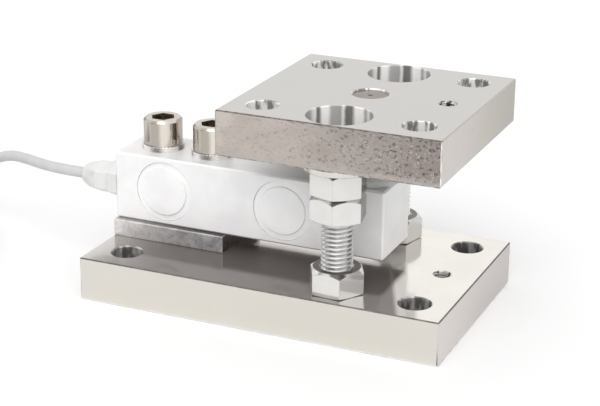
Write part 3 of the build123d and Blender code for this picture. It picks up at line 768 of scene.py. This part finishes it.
# %% Rows of the stud's thread
thread_pitch, thread_depth = 0.002, 0.00115
thread_columns, thread_lead, thread_weld, thread_crease = 72, 0.0012, 0.000002, 50
thread_profile = ((0.0, 0.0001), (0.10, 0.0), (0.20, 0.0001), (0.53, thread_depth), (0.69, thread_depth))


def thread_rows(low, high):
    """Height and radius of each row, from below the rod to above it."""
    turns = int((high - low) / thread_pitch) + 3
    root = stud_radius - thread_depth
    return [(low + (turn - 1 + share) * thread_pitch, root + rise)
            for turn in range(turns) for share, rise in thread_profile]

# %% Wind the thread of a stud
def wound_corners(rows, x, y, low, high):
    """Corners of the wound ridge, tapered at both ends of the rod."""
    corners = []
    for row_height, row_radius in rows:
        for column in range(thread_columns):
            share = column / thread_columns
            height = min(max(row_height + share * thread_pitch, low), high)
            taper = stud_radius - max(0.0, thread_lead - (height - low), thread_lead - (high - height))
            radius = min(row_radius, taper)
            corners.append((x + radius * cos(2 * pi * share), y + radius * sin(2 * pi * share), height))
    return corners


def threaded_stud(name, x, y, low, high):
    """A rod with a wound ridge between two heights, closed at both ends."""
    rows = thread_rows(low, high)
    jump = len(thread_profile)
    faces = []
    for row in range(len(rows) - 1 - jump):
        for column in range(thread_columns):
            after, shift = (column + 1) % thread_columns, jump if column + 1 == thread_columns else 0
            faces.append((row * thread_columns + column, (row + shift) * thread_columns + after,
                          (row + shift + 1) * thread_columns + after, (row + 1) * thread_columns + column))
    piece = shaped(name, wound_corners(rows, x, y, low, high), faces, stud_zinc, thread_crease)
    tidy = bmesh.new()
    tidy.from_mesh(piece.data)
    bmesh.ops.remove_doubles(tidy, verts=tidy.verts, dist=thread_weld)
    bmesh.ops.dissolve_degenerate(tidy, edges=tidy.edges, dist=thread_weld)
    loose = [edge for edge in tidy.edges if edge.is_boundary]
    bmesh.ops.holes_fill(tidy, edges=loose, sides=0)
    bmesh.ops.recalc_face_normals(tidy, faces=tidy.faces)
    tidy.to_mesh(piece.data)
    tidy.free()
    piece.data.set_sharp_from_angle(angle=radians(thread_crease))
    return piece


for side, y in studs.items():
    stud = threaded_stud(f"threaded_stud_{side}", load_x, y, stud_foot, stud_tip)
    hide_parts(f"jack_stud_{side}")
    print(stud.name, "has", len(stud.data.polygons), "faces")

# %% [markdown]
# A nut is chamfered deep on the side that the wrench comes from and only lightly on the
# side that it sits on. A cone cuts the six flats, so each flat ends in an arch. Here the
# arch comes by itself: round the nut, the side is lower where it stands further out.

# %% Nuts: a hexagon cut by a cone
nut_flat, nut_round, nut_bore, bore_chamfer = 0.011, 0.0103, 0.0071, 0.0006
slope_above, slope_below = 0.78, 0.20
nut_seats = (("base_lock", base_top, 0.011), ("jam", 0.0529, 0.0110), ("jack", 0.0640, 0.0114))
nut_turns = {"front": (-2.4, -18.4, -18.4), "back": (16.2, -7.4, -2.4)}


def hexagon_nut(name, y, seat, height, turned, columns=96):
    """A nut on its stud, from a seat height, turned by an angle in degrees."""
    corners = []
    for column in range(columns):
        angle = 2 * pi * column / columns
        out = nut_flat / cos((angle + pi / 6) % (pi / 3) - pi / 6)
        past = max(0.0, out - nut_round)
        ring = ((nut_bore, 0.0), (nut_round, 0.0), (out, past * slope_below),
                (out, height - past * slope_above), (nut_round, height),
                (nut_bore + bore_chamfer, height), (nut_bore, height - bore_chamfer))
        way = angle + radians(turned) + pi / 6
        corners += [(load_x + radius * cos(way), y + radius * sin(way), seat + rise) for radius, rise in ring]
    nut = shaped(name, corners, ring_faces(columns, len(ring)), nut_zinc, crease=20)
    return nut


for side, y in studs.items():
    for (part, seat, height), turned in zip(nut_seats, nut_turns[side]):
        nut = hexagon_nut(f"{part}_hexagon_{side}", y, seat, height, turned)
        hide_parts(f"{part}_nut_{side}")
print("faces on a nut:", len(nut.data.polygons))

# %% [markdown]
# Wedge-lock washers come in pairs. Their outer faces carry fine radial teeth that bite the
# beam and the screw head, and their inner faces carry cams. Only the teeth show, at the
# rim, as tiny steps in the light.

# %% Lock washers with teeth
tooth_count, tooth_depth = 36, 0.00016
washer_outer, washer_inner = 0.00975, 0.0065
washer_thick, pair_thick = 0.001225, 0.0025


def toothed_ring(x, smooth_height, toothed_height):
    """Corners and faces of one ring, flat on one face and toothed on the other."""
    corners = []
    steps = tooth_count * 3
    low_teeth = toothed_height < smooth_height
    for k in range(steps):
        cut, way = tooth_depth if k % 3 == 1 else 0.0, 2 * pi * k / steps
        toothed = toothed_height + (cut if low_teeth else -cut)
        for radius, height in ((washer_inner, smooth_height), (washer_outer, smooth_height),
                               (washer_outer, toothed), (washer_inner, toothed)):
            corners.append((x + radius * cos(way), radius * sin(way), height))
    faces = ring_faces(steps, 4)
    return corners, faces if low_teeth else [face[::-1] for face in faces]


for name, x in zip(("outer", "inner"), screw_places):
    low, low_faces = toothed_ring(x, beam_high + washer_thick, beam_high)
    top, top_faces = toothed_ring(x, beam_high + pair_thick - washer_thick, beam_high + pair_thick)
    shifted = [tuple(index + len(low) for index in face) for face in top_faces]
    pair = shaped(f"toothed_washers_{name}", low + top, low_faces + shifted, lock_steel, crease=20)
    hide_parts(f"lock_washers_{name}")
print("teeth on each washer:", tooth_count)

# %% [markdown]
# The boot round the rocker pin is a small rubber bellows. A mould leaves no sharp folds,
# so its outline is drawn as two waves, thickened inwards and turned round the pin's axis.

# %% Dust boot
boot_steps, boot_rows, boot_clear = 96, 48, 0.0001
crest, fold, rubber = 0.0149, 0.0016, 0.0017
outline = []
for k in range(boot_rows + 1):
    share = k / boot_rows
    wave = 0.5 - 0.5 * cos(4 * pi * max(0.0, min(1.0, (share - 0.10) / 0.80)))
    rise = share * (plate_low - beam_high - 2 * boot_clear)
    outline.append((crest - fold * wave, beam_high + boot_clear + rise))
outline += [(radius - rubber, height) for radius, height in reversed(outline)]
corners = [(load_x + radius * cos(2 * pi * k / boot_steps), radius * sin(2 * pi * k / boot_steps), height)
           for k in range(boot_steps) for radius, height in outline]
boot = shaped("bellows_boot", corners, ring_faces(boot_steps, len(outline)), boot_rubber, crease=50)
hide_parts("dust_boot")
print("boot has", len(boot.data.polygons), "faces")

# %% [markdown]
# The cable's free stretch leaves the gland level, sinks under its own weight and swings
# round to the left. Its line is one smooth curve, which the few points below steer. The
# rest of its three metres lies in a neat coil on the floor: four layers of turns, each one
# cable thickness from the next, wound inwards and outwards by turns.

# %% Points that steer the free stretch
cable_thickness = 0.0052
free_stretch = [(-0.105, -0.008, 0.0439), (-0.1185, -0.008, 0.0439), (-0.134, -0.0018, 0.0423),
                (-0.148, 0.0063, 0.0407), (-0.1625, 0.0145, 0.038), (-0.178, 0.020, 0.0315),
                (-0.1935, 0.0175, 0.0235), (-0.2065, 0.008, 0.0182), (-0.2145, -0.0045, 0.0182)]

# %% Points that steer the coil
coil_x, coil_y = -0.19327, -0.04421
coil_outer, coil_inner = 0.03929, 0.0203
turns_a_layer, points_a_turn, way_down = 3.5852, 16, pi / 2
layer_heights = (0.0182, 0.0130, 0.0078, 0.0026)
coil_points = []


def coil_point(angle, radius, height):
    """A steering point of the coil, set out a little because the curve cuts inside it."""
    set_out = radius / cos(pi / points_a_turn)
    coil_points.append((coil_x + set_out * cos(angle), coil_y + set_out * sin(angle), height))


angle = radians(147.4)
steps_a_layer = round(turns_a_layer * points_a_turn)
layer_step = turns_a_layer * 2 * pi / steps_a_layer
for layer, height in enumerate(layer_heights):
    first, last = (coil_outer, coil_inner) if layer % 2 == 0 else (coil_inner, coil_outer)
    for k in range(steps_a_layer + 1):
        coil_point(angle + k * layer_step, first + (last - first) * k / steps_a_layer, height)
    angle += turns_a_layer * 2 * pi
    if height > layer_heights[-1]:
        drop = height - layer_heights[layer + 1]
        for k in (1, 2, 3):
            coil_point(angle + k / 4 * way_down, last, height - drop * k / 4)
        angle += way_down
print("steering points:", len(free_stretch), "free and", len(coil_points), "in the coil")

# %% Cable: one spline through all of it
tail_x, tail_y, tail_height = coil_x - coil_outer, coil_y, layer_heights[-1]
tail = [(tail_x, tail_y - y, tail_height) for y in (0.008, 0.015, 0.022)]
steering = free_stretch + coil_points + tail
line = bpy.data.curves.new("cable_line", "CURVE")
line.dimensions = "3D"
spline = line.splines.new("NURBS")
spline.points.add(len(steering) - 1)
for point, spot in zip(spline.points, steering):
    point.co = (*spot, 1)
spline.order_u = 3
spline.use_endpoint_u = True
line.bevel_depth = cable_thickness / 2
line.bevel_resolution = 5
line.resolution_u = 6
line.use_fill_caps = True
cable = bpy.data.objects.new("coiled_cable", line)
in_scene.link(cable)
line.materials.append(jacket)
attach(cable, "root")
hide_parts("cable", "cable_coil")

# %% Measure the cable along its middle
def line_length(curve_object):
    """Length in metres of a curve's own line, read without its thickness."""
    bare = curve_object.data.copy()
    bare.bevel_depth = 0
    probe = bpy.data.objects.new("probe", bare)
    mesh = bpy.data.meshes.new_from_object(probe)
    spots = [vertex.co.copy() for vertex in mesh.vertices]
    bpy.data.objects.remove(probe)
    bpy.data.curves.remove(bare)
    bpy.data.meshes.remove(mesh)
    return sum((b - a).length for a, b in zip(spots, spots[1:]))


print("cable measures", round(line_length(cable), 3), "m")

# %% [markdown]
# The far end isn't fitted with a plug: such a cable is cut to length and wired into a
# junction box. Its jacket stops and five cores fan out, four in coloured sleeves with
# tinned tips and one bare shield wire.

# %% Helpers for the stripped cores
jacket_end, core_length, core_high, core_sink, fan = 0.0221, 0.0237, 0.0027, 0.0021, 1.45


def tube(spots, radius, sides=14):
    """Corners and faces of a round tube through some spots, closed at both ends."""
    corners, faces = [], []
    for k, spot in enumerate(spots):
        forward = (spots[min(k + 1, len(spots) - 1)] - spots[max(k - 1, 0)]).normalized()
        across = forward.cross(Vector((0, 0, 1))).normalized()
        upward = across.cross(forward)
        for i in range(sides):
            a = 2 * pi * i / sides
            corners.append(spot + across * radius * cos(a) + upward * radius * sin(a))
    for k in range(len(spots) - 1):
        for i in range(sides):
            j = (i + 1) % sides
            faces.append((k * sides + i, (k + 1) * sides + i, (k + 1) * sides + j, k * sides + j))
    faces.append(tuple(range(sides)))
    faces.append(tuple((len(spots) - 1) * sides + i for i in reversed(range(sides))))
    return corners, faces


def core_line(aside, low, high, count):
    """Spots along one core, from the jacket's cut end to the floor."""
    spots = []
    for k in range(count):
        share = low + (high - low) * k / (count - 1)
        ease = share * share * (3 - 2 * share)
        spots.append(Vector((tail_x + aside * (1 + fan * ease), tail_y - jacket_end - core_length * share,
                             core_high - core_sink * min(1.0, 1.6 * share) ** 1.5)))
    return spots

# %% Stripped cores
core_pitch, core_reach, bare_reach, tip_reach = 0.001, 0.00045, 0.00032, 0.0003
sleeve_end, tip_start = 0.74, 0.72
sleeves = {"red": (0.55, 0.02, 0.02), "black": (0.015, 0.015, 0.016), "bare": None,
           "green": (0.02, 0.28, 0.07), "white": (0.80, 0.80, 0.78)}
tinned = zinc("tinned copper", (0.80, 0.78, 0.74), 0.25, blot=0.002)
for k, (colour_name, colour) in enumerate(sleeves.items()):
    aside = (k - 2) * core_pitch
    if colour:
        sleeve = moulded(f"{colour_name} sleeve", colour, 0.35, dent=0.000004)
        sleeved, tip = core_line(aside, 0.0, sleeve_end, 14), core_line(aside, tip_start, 1.0, 8)
        shaped(f"core_{colour_name}", *tube(sleeved, core_reach), sleeve)
        shaped(f"core_tip_{colour_name}", *tube(tip, tip_reach), tinned)
    else:
        shaped(f"core_{colour_name}", *tube(core_line(aside, 0.0, 1.0, 14), bare_reach), tinned)
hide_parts("cable_cores")

# %% [markdown]
# A plain white studio: a floor and a sky that lights everything evenly. The floor glows a
# little, but only for the camera and for mirroring metal, so that it looks white without
# lighting the module from below.

# %% Floor
floor_mesh = bpy.data.meshes.new("floor")
floor_mesh.from_pydata([(-4, -4, 0), (4, -4, 0), (4, 4, 0), (-4, 4, 0)], [], [(0, 1, 2, 3)])
floor = bpy.data.objects.new("floor", floor_mesh)
floor.location.z = -0.0002
in_scene.link(floor)
paper = plain_finish("white paper", (0.86, 0.86, 0.86), 0.9, metallic=0.0)
shader = paper.node_tree.nodes["Principled BSDF"]
shader.inputs["Specular IOR Level"].default_value = 0.1
shader.inputs["Emission Color"].default_value = (1, 1, 1, 1)
seen = either(put(paper, "LightPath", out="Is Camera Ray"), put(paper, "LightPath", out="Is Glossy Ray"))
floor_glow = 0.165
wire_up(paper, emission_strength=both(seen, floor_glow))
floor_mesh.materials.append(paper)
tell(paper)

# %% [markdown]
# Shiny metal shows what is round it. The sky that metal sees is white behind the module,
# dimmer behind the camera, with dark screens at the sides: a ramp of greys gives that. A
# white panel stands at the right, where the plates' ends mirror it, and a light overhead.
# Other rays meet an even light grey, and the camera meets white.

# %% What shiny metal sees
world = bpy.data.worlds.new("studio")
bpy.context.scene.world = world
world.use_nodes = True
screens = ((0.0, 0.10), (0.14, 0.10), (0.20, 0.30), (0.26, 0.30), (0.32, 0.08), (0.46, 0.08),
           (0.52, 0.95), (0.57, 1.0), (0.60, 0.15), (0.63, 0.15), (0.68, 1.0), (1.0, 1.0))
way = put(world, "TexCoord")
flat_way = put(world, "VectorMath", {0: way, 1: (1, 1, 0)}, operation="MULTIPLY")
compass = put(world, "VectorMath", {0: flat_way}, operation="NORMALIZE")
behind = put(world, "MapRange", {"Value": along(compass, (-0.58, 0.815, 0)), "From Min": -1.0})
round_the_room = grey_ramp(behind, screens, (1, 0.985, 0.965))
panel = put(world, "MapRange", {"Value": along(compass, (1, 0, 0)), "From Min": 0.88, "From Max": 0.95})
round_the_room = mixed(panel, round_the_room, (1, 1, 1))
overhead = mask(along(way, (0, 0, 1)), 0.56, 0.74)
seen_by_metal = mixed(overhead, round_the_room, (1.1, 1.1, 1.1))
print("screens in the sky:", len(screens))

# %% What each kind of ray meets in the sky
lit = mixed(put(world, "LightPath", out="Is Glossy Ray"), (0.70, 0.70, 0.70), seen_by_metal)
sky_colour = mixed(put(world, "LightPath", out="Is Camera Ray"), lit, (1, 1, 1))
world.node_tree.links.new(sky_colour, world.node_tree.nodes["Background"].inputs["Color"])
tell(world)

# %% [markdown]
# Two lamps add soft shadows. The stronger one stands high behind the camera, and the weaker
# one low at the right, so that it reaches the bar's front under the top plate. Both are as
# broad as a soft box, 50 and 60 degrees across, so that no shadow has a hard edge.

# %% Lamps
for name, energy, spread, aim in (("soft lamp", 1.1, 50, (-0.10, 0.80, -1.0)),
                                  ("fill lamp", 0.6, 60, (-0.60, 0.75, -0.30))):
    light = bpy.data.lights.new(name, "SUN")
    light.energy, light.angle = energy, radians(spread)
    lamp = bpy.data.objects.new(name, light)
    lamp.rotation_euler = Vector(aim).to_track_quat("-Z", "Y").to_euler()
    in_scene.link(lamp)
print("lamps:", len(bpy.data.lights))
